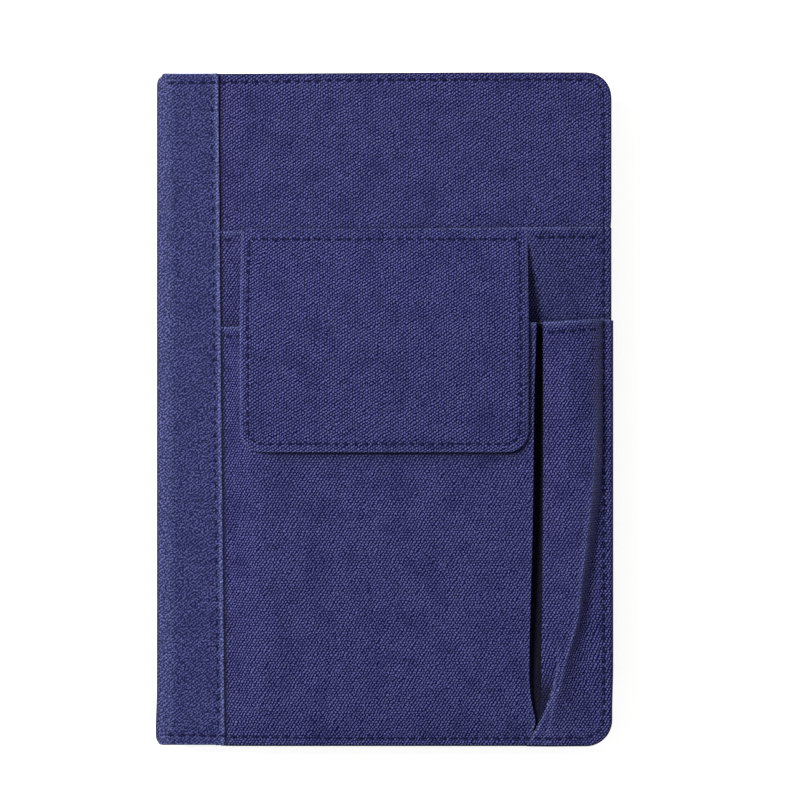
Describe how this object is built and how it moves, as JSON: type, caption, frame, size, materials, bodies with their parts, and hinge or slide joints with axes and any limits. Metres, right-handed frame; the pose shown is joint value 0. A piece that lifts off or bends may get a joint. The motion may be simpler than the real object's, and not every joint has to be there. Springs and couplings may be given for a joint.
{
  "type": "pilot logbook",
  "caption": "Cloth-bound A5 hardcover logbook with a slip pocket, a flapped phone pocket and a pleated pen pocket on the front cover.",
  "frame": {"origin": "middle of the closed book's footprint, on the surface that its back cover lies on", "axes": "+Z out of the front cover, +Y towards the head of the book, +X towards the fore edge, away from the spine"},
  "size_m": [0.1455, 0.215, 0.0313],
  "materials": {
    "canvas": "matte canvas-textured coated cloth",
    "spine_canvas": "matte canvas-textured coated cloth, softened at the folds",
    "lining_cloth": "plain matte lining cloth",
    "thread": "polyester sewing thread",
    "board": "grey bookbinding board",
    "endpaper": "smooth heavy paper",
    "paper": "uncoated writing paper",
    "mull": "open-weave gauze, glued",
    "headband": "wrapped silk band",
    "magnet": "nickel-plated disc"
  },
  "bodies": {
    "text_block": {"signature_1": "paper", "signature_2": "paper", "signature_3": "paper", "signature_4": "paper", "signature_5": "paper", "signature_6": "paper", "mull": "mull", "headband": "headband", "tailband": "headband", "spine_board": "board", "spine_band": "spine_canvas"},
    "front_cover": {"front_cover_cloth": "canvas", "front_spine_band": "spine_canvas", "front_board": "board", "front_lining": "endpaper", "front_edge_thread": "thread", "front_band_thread": "thread", "slip_pocket_panel": "canvas", "slip_pocket_thread": "thread", "phone_pocket_panel": "canvas", "phone_pocket_thread": "thread", "pocket_magnet_patch": "lining_cloth", "pocket_magnet": "magnet", "pen_pocket_panel": "canvas", "pen_pocket_thread": "thread"},
    "pocket_flap": {"flap_face_cloth": "canvas", "flap_stiffener": "board", "flap_lining": "lining_cloth", "flap_magnet": "magnet", "flap_thread": "thread"},
    "back_cover": {"back_cover_cloth": "canvas", "back_spine_band": "spine_canvas", "back_board": "board", "back_lining": "endpaper"},
    "front_flyleaf": {"front_flyleaf": "endpaper"},
    "ruled_leaf_1": {"ruled_leaf_1": "paper"},
    "ruled_leaf_2": {"ruled_leaf_2": "paper"},
    "ruled_leaf_3": {"ruled_leaf_3": "paper"},
    "back_flyleaf": {"back_flyleaf": "endpaper"}
  },
  "joints": [
    {"name": "front_cover_hinge", "type": "hinge", "parent": "text_block", "child": "front_cover", "pos_m": [-0.0716, 0, 0.02055], "axis": [0, -1, 0], "range_deg": [0, 180]},
    {"name": "back_cover_hinge", "type": "hinge", "parent": "text_block", "child": "back_cover", "pos_m": [-0.0716, 0, 0.00035], "axis": [0, 1, 0], "range_deg": [0, 180]},
    {"name": "flap_hinge", "type": "hinge", "parent": "front_cover", "child": "pocket_flap", "pos_m": [0, 0.0562, 0.0229], "axis": [-1, 0, 0], "range_deg": [0, 165]},
    {"name": "front_flyleaf_turn", "type": "hinge", "parent": "text_block", "child": "front_flyleaf", "pos_m": [-0.0716, 0, 0.02055], "axis": [0, -1, 0], "range_deg": [0, 162.5]},
    {"name": "ruled_leaf_1_turn", "type": "hinge", "parent": "text_block", "child": "ruled_leaf_1", "pos_m": [-0.0716, 0, 0.02055], "axis": [0, -1, 0], "range_deg": [0, 144.5]},
    {"name": "ruled_leaf_2_turn", "type": "hinge", "parent": "text_block", "child": "ruled_leaf_2", "pos_m": [-0.0716, 0, 0.02055], "axis": [0, -1, 0], "range_deg": [0, 122.9]},
    {"name": "ruled_leaf_3_turn", "type": "hinge", "parent": "text_block", "child": "ruled_leaf_3", "pos_m": [-0.0716, 0, 0.02055], "axis": [0, -1, 0], "range_deg": [0, 97.7]},
    {"name": "back_flyleaf_turn", "type": "hinge", "parent": "text_block", "child": "back_flyleaf", "pos_m": [-0.0716, 0, 0.00035], "axis": [0, 1, 0], "range_deg": [0, 162.5]}
  ],
  "couplings": [
    {"joint": "front_flyleaf_turn", "follows": "front_cover_hinge", "ratio": 0.9},
    {"joint": "ruled_leaf_1_turn", "follows": "front_cover_hinge", "ratio": 0.8},
    {"joint": "ruled_leaf_2_turn", "follows": "front_cover_hinge", "ratio": 0.68},
    {"joint": "ruled_leaf_3_turn", "follows": "front_cover_hinge", "ratio": 0.54},
    {"joint": "back_flyleaf_turn", "follows": "back_cover_hinge", "ratio": 0.9}
  ]
}
